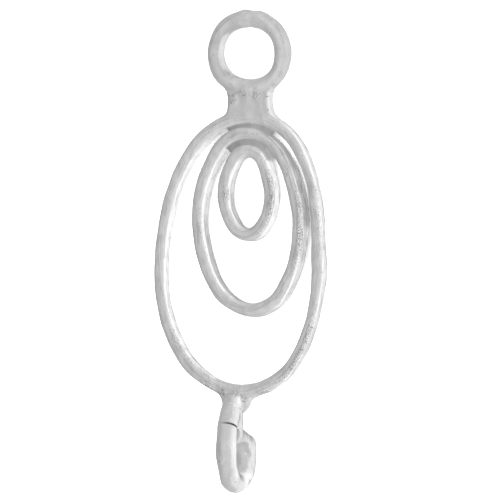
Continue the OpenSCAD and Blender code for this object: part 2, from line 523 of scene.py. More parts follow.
def foot_field(x, y, z, ovals):
    """The foot under the outer oval: a plate whose sides curve in downwards, as e to the minus drop over the
    flare's length, and whose lower edge slopes up to the right."""
    top = -ovals.outer_height / 2
    flare = np.exp(np.minimum(y - top, FOOT_UP) / FOOT_FLARE) * FLARE_SHARE
    right = x - FOOT_RIGHT[0] - FOOT_RIGHT[1] * flare
    left = -x - FOOT_LEFT[0] - FOOT_LEFT[1] * flare
    side = np.maximum(left, right) * FOOT_STEEP
    low = (top - FOOT_DROP - y + FOOT_SLOPE * x) * FOOT_LEVEL
    flat = cut(np.maximum(side, y - top - FOOT_UP), low, FOOT_ROUND)
    return rounded(flat, np.abs(z) - ovals.wire_depth * FOOT_DEPTH, FOOT_EDGE)


def over_cut(y, z, loop):
    """How far a point is over the saw cut's middle, which slopes down towards the back."""
    slope = math.radians(CUT_SLOPE)
    return (y + loop.drop - CUT_UP) * math.cos(slope) - (z - loop.radius) * math.sin(slope)


def loop_field(x, y, z, loop):
    """The loop across the ovals: a ring under the front leg, a shoulder and a heel behind, a stem over the
    cut. The three fields are the stem with the back, the ring with the back, and the ring with the leg."""
    up = y + loop.drop
    radius = loop.radius
    wire = loop.wire
    past = math.radians(RING_PAST_BACK)
    middle_angle = (math.pi + past) / 2
    away = np.abs((np.arctan2(-up, z) - middle_angle + math.pi) % (2 * math.pi) - math.pi)
    on_ring = away < middle_angle
    around = np.hypot(up, z) - radius
    shoulder_low = (0.0, radius * math.sin(past) - loop.drop, -radius * math.cos(past))
    front_end = x**2 + up**2 + (z - radius) ** 2
    back_end = x**2 + (y - shoulder_low[1]) ** 2 + (z - shoulder_low[2]) ** 2
    worn = bump(y, WORN_AT - loop.drop, WORN_SPREAD)
    x = x - WORN_RIGHT * worn
    ring = np.sqrt(np.where(on_ring, x**2 + around**2, np.minimum(front_end, back_end)))
    ring = ring - wire / 2 + WORN_THIN * worn
    over = over_cut(y, z, loop)
    leg = rod(x, y, z, (0.0, -loop.drop, radius), (0.0, -loop.drop + LEG_RUN, radius), wire)
    leg = cut(leg, over + loop.cut / 2, CUT_EDGE)
    bore = radius - wire / 2 + BORE_MORE - np.hypot(up, z)
    shoulder = rod(x, y, z, shoulder_low, HEEL_LOW, wire - SHOULDER_LESS)
    heel = rod(x, y, z, HEEL_LOW, HEEL_TOP, wire - HEEL_LESS)
    back = cut(join(shoulder, heel, HEEL_FILLET), bore, BORE_EDGE)
    leg_room = np.maximum(radius - wire / 2 - loop.cut - z, over - LEG_ROOM_UP)
    back = cut(back, -leg_room, CUT_EDGE)
    cut_middle = np.array((0.0, CUT_UP - loop.drop, radius))
    way = cut_middle - STEM_TOP
    stem = rod(x, y, z, STEM_TOP, cut_middle + way / np.linalg.norm(way) * STEM_PAST_CUT, wire)
    stem = cut(stem, loop.cut / 2 - over, CUT_EDGE)
    return join(stem, back, BACK_FILLET), join(ring, back, BACK_FILLET), np.minimum(ring, leg)


def near_places(x, y, z, places):
    """The sum of bell curves round places, each with its reach and its height."""
    total = 0.0
    for (at_x, at_y, at_z), reach, height in places:
        away = (x - at_x) ** 2 + (y - at_y) ** 2 + (z - at_z) ** 2
        total = total + height * np.exp(-away / reach**2)
    return total


def waves(x, y, z):
    """Unevenness from casting and polishing: a few long, low sine waves in seeded directions."""
    lot = np.random.default_rng(SEED)
    total = 0.0
    for size, height in WAVES:
        way = lot.normal(size=3)
        way *= 2 * math.pi / size / np.linalg.norm(way)
        start = lot.uniform(0, 2 * math.pi)
        total = total + height * np.sin(x * way[0] + y * way[1] + z * way[2] + start)
    return total


def spacer_field(x, y, z, sizes):
    """The whole spacer: its pieces with fillets where they are soldered, less the waves and the dents, and
    cut flat where it lies on the table."""
    upper, back, lower = loop_field(x, y, z, sizes.loop)
    soldered = (
        (beds_field(x, y, z, sizes.ovals), BED_FILLET),
        (neck_field(x, y, z, sizes.eye, sizes.ovals), NECK_FILLET),
        (eye_field(x, y, z, sizes.eye), EYE_FILLET),
        (foot_field(x, y, z, sizes.ovals), FOOT_FILLET),
        (upper, STEM_FILLET),
    )
    whole = ovals_field(x, y, z, sizes.ovals)
    for piece, fillet in soldered:
        whole = join(whole, piece, fillet)
    whole = np.minimum(np.minimum(whole, back), lower) - waves(x, y, z) + near_places(x, y, z, DENTS)
    over_table = z * LIE_COSINE - y * LIE_SINE + SHIFT_UP
    return cut(whole, -over_table, TABLE_EDGE)


# From the field to a mesh


def grid_part(values, offset, first, second):
    """The part of the grid that starts at the offset and is one place shorter along the two axes."""
    ends = [size - 1 if axis in (first, second) else size for axis, size in enumerate(values.shape)]
    return values[tuple(slice(at, at + end) for at, end in zip(offset, ends))]


def crossed_faces(values, first, second):
    """The corners of each grid face that has one diagonal inside the surface and one outside."""
    offsets = np.zeros((4, 3), dtype=int)
    offsets[[1, 2], first] = 1
    offsets[[2, 3], second] = 1
    inside = [grid_part(values, offset, first, second) < 0 for offset in offsets]
    crossed = (inside[0] == inside[2]) & (inside[1] == inside[3]) & (inside[0] != inside[1])
    return np.argwhere(crossed)[:, None, :] + offsets


def uncrossed(values, rounds=20):
    """Turns the sign of the smallest value of each crossed face until none is left, because four quads would
    meet at one edge there."""
    for _ in range(rounds):
        found = 0
        for first, second in ((0, 1), (1, 2), (2, 0)):
            corners = crossed_faces(values, first, second)
            smallest = np.abs(values[tuple(np.moveaxis(corners, -1, 0))]).argmin(axis=1)
            turn = corners[np.arange(len(corners)), smallest]
            values[tuple(turn.T)] *= -1
            found += len(corners)
        if not found:
            return values
    raise RuntimeError("the surface touches itself")


def means(numbers, places):
    """The mean of all the places that have the same number, for each number."""
    sums = [np.bincount(numbers, weights=places[:, axis]) for axis in range(3)]
    return np.stack(sums, axis=-1) / np.bincount(numbers)[:, None]


def surface_net(field, axes):
    """A closed mesh of quads on the surface. Each cell of the grid that the surface crosses has one point, at
    the mean of the places where it crosses the cell's edges. Each edge that it crosses gets one quad between
    the points of the four cells round it, which faces the outside."""
    values = uncrossed(field(axes[0][:, None, None], axes[1][None, :, None], axes[2][None, None, :]))
    steps = (values.shape[1] * values.shape[2], values.shape[2], 1)
    quads = []
    crossings = []
    for axis in range(3):
        low = [slice(None)] * 3
        high = [slice(None)] * 3
        low[axis] = slice(None, -1)
        high[axis] = slice(1, None)
        at_low = values[tuple(low)]
        at_high = values[tuple(high)]
        places = np.nonzero((at_low < 0) != (at_high < 0))
        before = at_low[places]
        after = at_high[places]
        point = np.stack([axes[i][places[i]] for i in range(3)], axis=-1)
        gap = axes[axis][places[axis] + 1] - axes[axis][places[axis]]
        point[:, axis] += gap * before / (before - after)
        cell = sum(places[i] * steps[i] for i in range(3))
        second = steps[(axis + 1) % 3]
        third = steps[(axis + 2) % 3]
        quad = np.stack([cell - second - third, cell - third, cell, cell - second], axis=-1)
        leaving = before < 0
        quads.append(np.where(leaving[:, None], quad, quad[:, ::-1]))
        crossings.append(point)
    quads = np.concatenate(quads)
    crossings = np.repeat(np.concatenate(crossings), 4, axis=0)
    _, corner = np.unique(quads.ravel(), return_inverse=True)
    corner = corner.ravel()
    return means(corner, crossings), corner.reshape(-1, 4)


def slope_of(field, points, step=0.004):
    """The field's slope at each point, from its values a small step to either side."""
    sides = []
    for axis in range(3):
        ahead = points.copy()
        behind = points.copy()
        ahead[:, axis] += step
        behind[:, axis] -= step
        sides.append((field(*ahead.T) - field(*behind.T)) / (2 * step))
    return np.stack(sides, axis=-1)


def onto_surface(field, points, rounds=1, longest=0.05, least_steep=0.05):
    """Moves each point along the slope by the field's value over the slope's length, so that it lies on the
    surface."""
    for _ in range(rounds):
        slope = slope_of(field, points)
        steep = np.maximum((slope**2).sum(axis=1), least_steep)
        move = np.clip(field(*points.T) / steep, -longest, longest)
        points = points - slope * move[:, None]
    return points


def evened(field, points, quads, rounds):
    """Moves each point half the way to the mean of its neighbours and back on to the surface, in rounds."""
    corner = quads.ravel()
    following = np.roll(quads, -1, axis=1).ravel()
    start = np.concatenate([corner, following])
    end = np.concatenate([following, corner])
    for _ in range(rounds):
        points = onto_surface(field, points + 0.5 * (means(start, points[end]) - points))
    return points


def spaced(stops):
    """Places along an axis: from each stop to the next, even steps of about the size that goes with it."""
    places = [np.array([stops[0][0]])]
    for (start, step), (end, _) in zip(stops, stops[1:]):
        number = max(1, round((end - start) / step))
        places.append(np.linspace(start, end, number + 1)[1:])
    return np.concatenate(places)


# Marks on the mesh, which the finish goes by; some of them are painted shade and painted highlights


# Ways out of the surface: to the camera's right, and the ways that side faces and front corners look
CAMERA_RIGHT = np.array([0.9205, 0.0, -0.3907])
SIDE_FACES = np.array([0.9, 0.2, -0.35])
FRONT_CORNERS = np.array([0.5, 0.0, 0.87])

# Below, a pair is where a mark starts or ends, and the length, angle or share over which it fades there.

# Solder: its fades, and how much smoother it and the ends of the spacer are than the ovals. The beds' painted
# shade and tarnish get darker to the left, within limits.
SOLDER_FADE = 0.12
BED_FADE = 0.06
SOLDER_SMOOTH = 0.75
ENDS_SMOOTH = 0.65
ENDS_FROM = (8.9, 0.3)
BED_DARK = 1.45
BED_SLOPE = 0.55
BED_LEAST = 0.75
BED_UPPER = 0.4
BED_UPPER_FROM = (6.8, 0.3)
BED_MOST = 1.8

# Painted shade: side faces that look right are dark on the middle oval, less so low down, and so is its upper
# back corner
FACING_RIGHT = (0.5, 0.2)
BACK_CORNER = (-0.15, 0.2)
BACK_CORNER_DARK = 0.55
BACK_CORNER_TO = (62.0, 15.0)
MIDDLE_WALL_AT = 0.25
MIDDLE_WALL_NEAR = (0.8, 0.2)
MIDDLE_WALL_FROM = (5.0, 8.0)
MIDDLE_WALL_TO = (108.0, 14.0)
MIDDLE_LOW_DARK = 0.45
MIDDLE_LOW_TO = (165.0, 15.0)

# Painted shade: the outer oval's outside is a little dark at the right, and more so low down
OUTER_DARK = 0.24
OUTER_LOW_DARK = 0.18
OUTER_LOW_FROM = (105.0, 20.0)
OUTER_WALL_FROM = (8.0, 10.0)
OUTER_WALL_TO = (172.0, 10.0)
OUTER_OUTSIDE = (-0.3, 0.1)

# Painted shade on the insides of the ovals: how dark each is, how the dark grows downwards, and what counts
# as the inside
INNER_WALLS = (0.06, 0.5, 0.5)
INNER_WALL_SLOPE = 0.3
INNER_WALL_LIMITS = (0.6, 1.7)
INNER_WALL_FROM = (-0.6, 0.1)
INNER_WALL_TO = (0.0, 0.1)
UPRIGHT = (0.3, 0.15)

# Painted shade on the eye and the loop: how dark they are, and how the dark grows where they face the
# camera's right
ASIDE_MOST = 0.38
RING_FADE = 0.4
EYE_SHADE = 0.22
EYE_RIM = 1.0
EYE_RIM_SLOPE = 0.2
EYE_LEFT = 0.2
EYE_LEFT_SPREAD = 0.4
EYE_DOWN = 0.3
LOOP_SHADE = 0.24
LOOP_RIM = 0.5
LOOP_TOP = -8.8

# A painted highlight on the front leg's right edge, where it catches the light
LIT = 0.4
LIT_FACE = (0.5, 0.5)
LIT_FRONT = (1.0, 0.2)

# How far out of the surface the hollows are felt
HOLLOW_REACHES = (0.12, 0.3)

# Darker and brighter places and lines: where, how far they reach and how strong they are. The dark ones add
# to the painted shade in the hollows; the bright ones are painted highlights.
DARK_PLACES = (
    ((-0.86, -8.42, 0.42), 0.28, 1.6),
    ((-0.95, 9.1, 0.42), 0.3, 0.5),
    ((0.42, -9.1, 0.35), 0.25, 1.6),
    ((-2.2, 12.5, 0.45), 0.4, 0.7),
    ((0.52, -11.05, 0.35), 0.35, 1.5),
)
DARK_LINES = (
    ((-0.86, 9.44, 0.45), (-0.36, 9.7, 0.45), 0.08, 1.5),
    ((-1.07, 8.84, 0.35), (-0.62, 9.18, 0.45), 0.08, 1.7),
    ((-0.35, -11.1, 2.05), (-0.12, -12.1, 2.15), 0.09, 1.0),
)
PAINTED_HIGHLIGHTS = (
    ((0.48, -13.7, -0.65), 0.5, 0.9),
    ((-0.64, 8.88, 0.45), 0.25, 0.35),
    ((0.44, 9.58, 0.45), 0.3, 0.35),
)

# Where each oval's right front corner is speckled: angle, spread and strength, and what counts as the corner
SPECKS = (
    ((148, 17, 2.08), (60, 25, 0.48), (208, 20, 0.64)),
    ((95, 36, 1.12), (255, 40, 0.4)),
    ((95, 50, 1.6), (265, 22, 1.12)),
)
CORNER_FACE = (0.86, 0.06)
CORNER_NEAR = (0.75, 0.1)

# Places of rough, pitted solder and how far they reach, and the share of that over which they fade
ROUGH_PLACES = (
    ((0.05, 9.55, 0.5), 0.55),
    ((0.75, 9.45, 0.5), 0.45),
    ((-0.85, 9.2, 0.45), 0.5),
    ((0.1, -8.55, 0.5), 0.45),
    ((0.6, -8.75, 0.4), 0.4),
    ((0.35, -13.75, -0.6), 0.35),
    ((0.3, -13.35, -1.0), 0.35),
    ((-0.84, -8.42, 0.4), 0.36),
    ((-1.9, -7.95, 0.4), 0.6),
)
ROUGH_FADE = 0.625

# The fade of the saw cut's painted shadow, and how far under the outer oval the wires run along the loop
SLIT_FADE = 0.02
LOOP_DOWN = 0.6

# Where the grid's steps change, in millimetres: place, and step from there on
GRID_X = ((-5.9, 0.071), (5.9, 0.0))
GRID_Y = ((-14.7, 0.06), (-10.9, 0.035), (-9.9, 0.06), (-8.6, 0.085), (9.2, 0.07), (14.3, 0.05), (14.9, 0.0))
GRID_Z = ((-2.4, 0.071), (2.4, 0.0))

# How often the mesh's points are evened out
EVENINGS = 3


def rise(value, start, run):
    """Nothing up to the start, and from there straight up to 1 over the run."""
    return np.clip((value - start) / run, 0.0, 1.0)


def fall(value, end, run):
    """Nothing from the end on, and 1 up to the run before it, straight down in between."""
    return np.clip((end - value) / run, 0.0, 1.0)


def skin_of(field, sizes, points):
    """The points of the surface, with the way out of it, the distances to the wires and to the solder, and
    each point's place on the ovals."""
    x, y, z = points.T
    ovals = sizes.ovals
    slope = slope_of(field, points)
    normal = slope / np.linalg.norm(slope, axis=1)[:, None]
    wires = np.minimum(ovals_field(x, y, z, ovals), eye_field(x, y, z, sizes.eye))
    for part in loop_field(x, y, z, sizes.loop):
        wires = np.minimum(wires, part)
    beds = beds_field(x, y, z, ovals)
    blocks = np.minimum(neck_field(x, y, z, sizes.eye, ovals), foot_field(x, y, z, ovals))
    return SimpleNamespace(
        points=points,
        x=x,
        y=y,
        z=z,
        normal=normal,
        wires=wires,
        beds=beds,
        solder=np.minimum(beds, blocks),
        lines=oval_lines(x, y, ovals),
    )


def bed_mark(skin):
    """How much a point is on a bed of solder, times how dark its painted shade and patina are: less towards
    the right.
    """
    bed = rise(skin.wires - skin.beds, -BED_FADE / 2, BED_FADE)
    least = BED_LEAST + BED_UPPER * rise(skin.y, *BED_UPPER_FROM)
    return bed * np.clip(BED_DARK - BED_SLOPE * skin.x, least, BED_MOST)


def oval_walls(skin):
    """How dark the painted shade on the side faces of the ovals is: the highest of the values for the middle
    oval's right side, the outer one's outside and the insides of all three."""
    facing = rise(skin.normal @ SIDE_FACES, *FACING_RIGHT)
    corner = BACK_CORNER_DARK * rise(skin.normal @ SIDE_FACES, *BACK_CORNER)
    line, angle, _ = skin.lines[1]
    middle = np.maximum(facing, corner * fall(angle, *BACK_CORNER_TO))
    middle = middle * fall(np.abs(line - MIDDLE_WALL_AT), *MIDDLE_WALL_NEAR) * rise(angle, *MIDDLE_WALL_FROM)
    low = MIDDLE_LOW_DARK * fall(angle, *MIDDLE_LOW_TO)
    middle = middle * np.maximum(fall(angle, *MIDDLE_WALL_TO), low)
    line, angle, _ = skin.lines[0]
    outer = OUTER_DARK + OUTER_LOW_DARK * rise(angle, *OUTER_LOW_FROM)
    outer = outer * rise(angle, *OUTER_WALL_FROM) * fall(angle, *OUTER_WALL_TO)
    wall = np.maximum(middle, outer * facing * rise(line, *OUTER_OUTSIDE))
    upright = fall(skin.normal[:, 2], *UPRIGHT)
    for (line, _, height), dark in zip(skin.lines, INNER_WALLS):
        inside = fall(line, *INNER_WALL_TO) * rise(line, *INNER_WALL_FROM)
        lower = np.clip(1.0 - INNER_WALL_SLOPE * height, *INNER_WALL_LIMITS)
        wall = np.maximum(wall, dark * lower * inside * upright)
    return wall


def wall_mark(skin, sizes, rough):
    """How much painted shade the side faces and the round wires get. The round wires get darker with how far
    they face the camera's right, up to a limit. Painted highlights at the bright places and on the leg's lit
    edge are taken off, even below 0."""
    facing = skin.normal @ CAMERA_RIGHT
    aside = np.minimum(facing, ASIDE_MOST)
    left = EYE_LEFT * bump(aside, 0.0, EYE_LEFT_SPREAD) * np.clip(-skin.x, 0.0, 1.0)
    eye = np.clip(EYE_SHADE + left + (EYE_RIM + EYE_RIM_SLOPE * skin.x) * aside, 0.0, 1.0)
    eye = eye * rise(skin.y, sizes.eye.height - sizes.eye.half_along - EYE_DOWN, RING_FADE)
    on_loop = fall(skin.y, LOOP_TOP, RING_FADE)
    loop = np.clip(LOOP_SHADE + LOOP_RIM * aside, 0.0, 1.0) * on_loop * (1.0 - rough)
    wall = np.maximum(np.maximum(oval_walls(skin), eye), loop)
    lit = LIT * rise(facing, *LIT_FACE) * on_loop * rise(skin.z, *LIT_FRONT)
    return wall - near_places(*skin.points.T, PAINTED_HIGHLIGHTS) - lit


def hollow_mark(skin, field):
    """How hollow the surface is: the mean, over some distances out of it, of how much the field there is
    under the distance, plus the dark places and lines. It sets the painted shade in the hollows, which goes
    with their patina."""
    hollow = near_places(*skin.points.T, DARK_PLACES)
    for reach in HOLLOW_REACHES:
        seen = field(*(skin.points + skin.normal * reach).T) / reach
        hollow = hollow + (1.0 - np.clip(seen, 0.0, 1.0)) / len(HOLLOW_REACHES)
    for start, end, reach, height in DARK_LINES:
        hollow = hollow + height * bump(rod(skin.x, skin.y, skin.z, start, end, 0.0), 0.0, reach)
    return hollow


def corner_mark(skin):
    """How much a point is on a speckled stretch of an oval's right front corner."""
    edge = rise(skin.normal @ FRONT_CORNERS, *CORNER_FACE)
    corner = 0.0
    for (line, angle, _), places in zip(skin.lines, SPECKS):
        (speckled,) = bells(angle, places)
        there = edge * fall(np.abs(line), *CORNER_NEAR) * np.clip(speckled, 0.0, 1.0)
        corner = np.maximum(corner, there)
    return corner


def rough_mark(skin):
    """How much a point is on rough solder, which falls off with the distance from the nearest place."""
    rough = 0.0
    for place, reach in ROUGH_PLACES:
        away = np.linalg.norm(skin.points - place, axis=1) / reach
        rough = np.maximum(rough, fall(away, 1.0, ROUGH_FADE))
    return rough


def across_mark(skin, sizes):
    """How far a point is outside the line of the nearest wire, as seen from the front, in millimetres."""
    eye = sizes.eye
    eye_line = np.hypot(skin.x, skin.y - eye.height) - (eye.half_across + eye.half_along) / 2
    nearest = np.inf
    for line in [oval[0] for oval in skin.lines] + [eye_line]:
        nearest = np.where(np.abs(line) < np.abs(nearest), line, nearest)
    return np.where(skin.y < -sizes.ovals.outer_height / 2 - LOOP_DOWN, skin.x, nearest)


def marks(field, sizes, points):
    """What the finish needs to know at each point: how much it is solder or a bed, how brushed and hollow it
    is and how much painted shade it gets, whether it is speckled, pitted or in the saw cut, whose painted
    shadow is near black, and its place across the wire in metres."""
    skin = skin_of(field, sizes, points)
    solder = rise(skin.wires - skin.solder, -SOLDER_FADE / 2, SOLDER_FADE)
    ends = rise(np.abs(skin.y), *ENDS_FROM)
    rough = rough_mark(skin)
    in_cut = fall(np.abs(over_cut(skin.y, skin.z, sizes.loop)), sizes.loop.cut / 2 + SLIT_FADE, SLIT_FADE)
    return {
        # The front of the saw cut, where the finish paints its shadow near black
        "slit": in_cut * (skin.z > sizes.loop.radius - sizes.loop.wire / 2),
        "brushed": (1.0 - SOLDER_SMOOTH * solder) * (1.0 - ENDS_SMOOTH * ends),
        "solder": solder,
        "bed": bed_mark(skin),
        "hollow": hollow_mark(skin, field),
        "corner": corner_mark(skin),
        "rough": rough,
        "wall": wall_mark(skin, sizes, rough),
        "across": across_mark(skin, sizes) * MM,
    }


def add_mesh(name, points, quads, values):
    """A smooth mesh object at the origin, with a value at each point for each mark."""
    mesh = bpy.data.meshes.new(name)
    mesh.vertices.add(len(points))
    mesh.vertices.foreach_set("co", points.astype(np.float32).ravel())
    mesh.loops.add(quads.size)
    mesh.loops.foreach_set("vertex_index", quads.ravel().astype(np.int32))
    mesh.polygons.add(len(quads))
    mesh.polygons.foreach_set("loop_start", np.arange(len(quads), dtype=np.int32) * 4)
    mesh.polygons.foreach_set("use_smooth", np.ones(len(quads), dtype=bool))
    mesh.update(calc_edges=True)
    for key, value in values.items():
        attribute = mesh.attributes.new(key, "FLOAT", "POINT")
        attribute.data.foreach_set("value", np.asarray(value, dtype=np.float32))
    if mesh.validate():
        raise RuntimeError(f"{name}: the mesh had faulty faces")
    made = bpy.data.objects.new(name, mesh)
    bpy.context.scene.collection.objects.link(made)
    return made


# Shader nodes


def both_ways(operation):
    """The method of an operator and of its reflected form, which add its Math node."""
    return (
        lambda self, other: self.math(operation, self, other),
        lambda self, other: self.math(operation, other, self),
    )


class Number:
    """A number that flows between nodes. An operator adds the Math node that works it out."""

    def __init__(self, nodes, socket):
        self.nodes = nodes
        self.socket = socket

    def math(self, operation, *values, **settings):
        """The number that a Math node makes of the values."""
        settings["operation"] = operation
        made = self.nodes.node("ShaderNodeMath", settings, dict(enumerate(values)))
        return Number(self.nodes, made.outputs[0])

    __add__, __radd__ = both_ways("ADD")
    __sub__, __rsub__ = both_ways("SUBTRACT")
    __mul__, __rmul__ = both_ways("MULTIPLY")
    __truediv__, __rtruediv__ = both_ways("DIVIDE")

    def rise(self, start, run):
        """Nothing up to the start, and from there straight up to 1 over the run."""
        return ((self - start) / run).limited()

    def limited(self):
        """The number kept between 0 and 1."""
        return self.math("ADD", self, 0.0, use_clamp=True)

    def size(self):
        """The number without its sign."""
        return self.math("ABSOLUTE", self)

    def lowest(self, other):
        """The lower of the two numbers."""
        return self.math("MINIMUM", self, other)

    def highest(self, other):
        """The higher of the two numbers."""
        return self.math("MAXIMUM", self, other)


class Nodes:
    """The node tree of a material or a world."""

    def __init__(self, tree):
        self.tree = tree
        tree.nodes.clear()

    def node(self, kind, settings=None, sockets=None):
        """Adds a node: its settings first, then the values or links of its sockets, by name or number."""
        made = self.tree.nodes.new(kind)
        for name, value in (settings or {}).items():
            setattr(made, name, value)
        for name, value in (sockets or {}).items():
            socket = made.inputs[name]
            source = value.socket if isinstance(value, Number) else value
            if isinstance(source, bpy.types.NodeSocket):
                self.tree.links.new(source, socket)
            else:
                socket.default_value = source
        return made

    def number(self, socket):
        """The number that a node gives out at a socket."""
        return Number(self, socket)

    def mark(self, name):
        """A mark of the mesh, by name."""
        return self.number(self.node("ShaderNodeAttribute", {"attribute_name": name}).outputs["Fac"])

    def noise(self, place, size, detail=2.0, rough=0.5):
        """Noise from 0 to 1 whose waves are about as long as size, in metres."""
        sockets = {"Vector": place, "Scale": 1.0 / size, "Detail": detail, "Roughness": rough}
        return self.number(self.node("ShaderNodeTexNoise", None, sockets).outputs[0])

    def streaks(self, place, across, along_size, across_size):
        """Noise from 0 to 1 drawn out along the wires: its fourth dimension is the place across them."""
        stretch = (1.0 / along_size, 1.0 / along_size, 1.0 / across_size)
        drawn = self.node("ShaderNodeVectorMath", {"operation": "MULTIPLY"}, {0: place, 1: stretch})
        sockets = {"Vector": drawn.outputs[0], "W": across / across_size, "Scale": 1.0, "Detail": 2.0}
        return self.number(self.node("ShaderNodeTexNoise", {"noise_dimensions": "4D"}, sockets).outputs[0])

    def mixed(self, amount, low, high):
        """A colour between two colours."""
        return self.node("ShaderNodeMix", {"data_type": "RGBA"}, {0: amount, 6: low, 7: high}).outputs[2]


def opaque(rgb):
    """A colour with its fourth number."""
    return (*rgb, 1.0)


# Sizes of the silver's patterns, in metres: clouds and patches of tone, the grain, facets left by the hammer,
# pits and specks, and strokes and scratches, whose first size is along the wire and whose second is across it
CLOUD = 0.0011
PATCH = 0.0035
GRAIN = 0.00014
FINE_GRAIN = 0.00006
FACET = 0.0006
SPOT = 0.00016
SPECK = 0.00009
STROKE = (0.0016, 0.00013)
SCRATCH = (0.0008, 0.00007)
RELIEF_DEPTH = 0.000012

# How much each pattern or mark adds to the tarnish and painted shade, the roughness and the height of the
# silver. The hollow, bed, side face and saw cut marks add painted shade.
TARNISH_AND_SHADE = {
    "hollow": 0.22,
    "bed": 0.36,
    "wall": 0.75,
    "pits": 0.5,
    "slit": 1.0,
    "specks": 1.0,
    "clouds": 0.3,
    "facets": 0.14,
    "dark strokes": 1.2,
    "dark scratches": 0.7,
}
ROUGHNESS = {"clouds": 0.2, "patches": 0.14, "scratches": 0.15, "pits": 0.25, "fine grain": 0.08}
RELIEF = {
    "grain": 0.6,
    "clouds": 4.0,
    "brushed strokes": 2.4,
    "brushed scratches": 0.6,
    "facet depth": 3.5,
    "pits": -2.4,
    "solder grain": 0.8,
    "rough grain": 9.0,
    "corner grain": 8.0,
}
SOLDER_SHARE = 0.8
# How near black the saw cut's painted shadow goes
SLIT_SHADOW_SHARE = 0.95

# Where strokes and scratches start to be dark
DARK_STROKES = 0.47
DARK_SCRATCHES = 0.52

# Pits: patches with room for them, the room on rough solder and in the brightest clouds, how much the room
# adds, and where spots start to be pits. Specks: where they start.
PIT_PATCHES = (0.208, 0.417)
PIT_ROUGH = 0.9
PIT_CLOUDS = (0.68, 0.8)
PIT_ROOM = 0.16
PITS = (0.72, 1 / 12)
SPECKLES = (0.55, 1 / 9)


def weighted(parts, weights):
    """The sum of the parts that have a weight, each times its weight."""
    return sum(parts[name] * weight for name, weight in weights.items())


def silver_patterns(nodes, look):
    """The silver's patterns and marks by name, the tones of the patterns with nothing as their middle."""
    place = nodes.node("ShaderNodeTexCoord").outputs["Object"]
    parts = {name: nodes.mark(name) for name in ("solder", "bed", "hollow", "wall", "slit")}
    corner = nodes.mark("corner")
    rough_place = nodes.mark("rough")
    across = nodes.mark("across")
    brushed = nodes.mark("brushed")
    clouds = nodes.noise(place, CLOUD, detail=3.0)
    patches = nodes.noise(place, PATCH)
    grain = nodes.noise(place, GRAIN, detail=3.0, rough=0.6)
    fine = nodes.noise(place, FINE_GRAIN)
    facets = nodes.node("ShaderNodeTexVoronoi", {"feature": "F1"}, {"Vector": place, "Scale": 1 / FACET})
    strokes = nodes.streaks(place, across, *STROKE)
    scratches = nodes.streaks(place, across, *SCRATCH)
    room = corner * look.pits * patches.rise(*PIT_PATCHES) + rough_place * PIT_ROUGH
    room = room + (clouds - PIT_CLOUDS[0]) * PIT_CLOUDS[1]
    spots = nodes.noise(place, SPOT, detail=1.0) + room.limited() * PIT_ROOM
    parts["pits"] = spots.rise(*PITS)
    parts["specks"] = nodes.noise(place, SPECK, detail=1.0).rise(*SPECKLES) * corner * look.specks
    parts["clouds"] = clouds - 0.5
    parts["patches"] = patches - 0.5
    parts["facets"] = nodes.number(facets.outputs["Color"]) - 0.5
    parts["facet depth"] = nodes.number(facets.outputs["Distance"])
    parts["scratches"] = scratches - 0.5
    parts["dark strokes"] = (strokes - DARK_STROKES).highest(0.0) * brushed
    parts["dark scratches"] = (scratches - DARK_SCRATCHES).highest(0.0) * brushed
    parts["brushed strokes"] = strokes * brushed
    parts["brushed scratches"] = scratches * brushed
    parts["grain"] = grain
    parts["fine grain"] = fine - 0.5
    parts["solder grain"] = parts["solder"] * grain
    parts["rough grain"] = rough_place * grain
    parts["corner grain"] = corner * fine
    return parts


def finished(name, sockets_of, look):
    """A material whose surface has the sockets that a function works out from its nodes and the look."""
    material = bpy.data.materials.new(name)
    material.use_nodes = True
    nodes = Nodes(material.node_tree)
    surface = nodes.node("ShaderNodeBsdfPrincipled", None, sockets_of(nodes, look))
    nodes.node("ShaderNodeOutputMaterial", None, {"Surface": surface.outputs[0]})
    return material


def silver_finish(nodes, look):
    """Cast silver, polished by hand: a satin grain with long strokes, cloudy patches, pits along the front
    corners, dull solder and patina in the hollows, with painted shade in the hollows, the beds, the saw cut,
    on the side faces and round wires, and painted highlights."""
    parts = silver_patterns(nodes, look)
    body = nodes.mixed(parts["solder"] * SOLDER_SHARE, opaque(look.silver), opaque(look.solder))
    # The tarnish colour also carries the painted shade of the hollow, bed, side face and saw cut marks
    tarnished_and_shaded = nodes.mixed(weighted(parts, TARNISH_AND_SHADE).limited(), body, opaque(look.tarnish_and_shade))
    rough = look.roughness + weighted(parts, ROUGHNESS) + parts["solder"] * look.dullness
    height = weighted(parts, RELIEF)
    relief = nodes.node("ShaderNodeBump", None, {"Strength": 1.0, "Distance": RELIEF_DEPTH, "Height": height})
    return {
        # The saw cut is painted near black, a painted shadow inside it
        "Base Color": nodes.mixed(parts["slit"] * SLIT_SHADOW_SHARE, tarnished_and_shaded, opaque((0.0, 0.0, 0.0))),
        "Metallic": 1.0,
        "Roughness": rough.limited(),
        "Normal": relief.outputs[0],
    }


# The table's uneven tone: the size of its clouds in metres, and how bright the darker ones are
TABLE_CLOUD = 0.03
TABLE_SHADE = 0.985
TABLE_ROUGH = 0.8


def table_finish(nodes, look):
    """A smooth pale table top, a little uneven in tone."""
    place = nodes.node("ShaderNodeTexCoord").outputs["Object"]
    shade = opaque(tuple(c * TABLE_SHADE for c in look.table))
    return {
        "Base Color": nodes.mixed(nodes.noise(place, TABLE_CLOUD), shade, opaque(look.table)),
        "Roughness": TABLE_ROUGH,
    }


# Operators


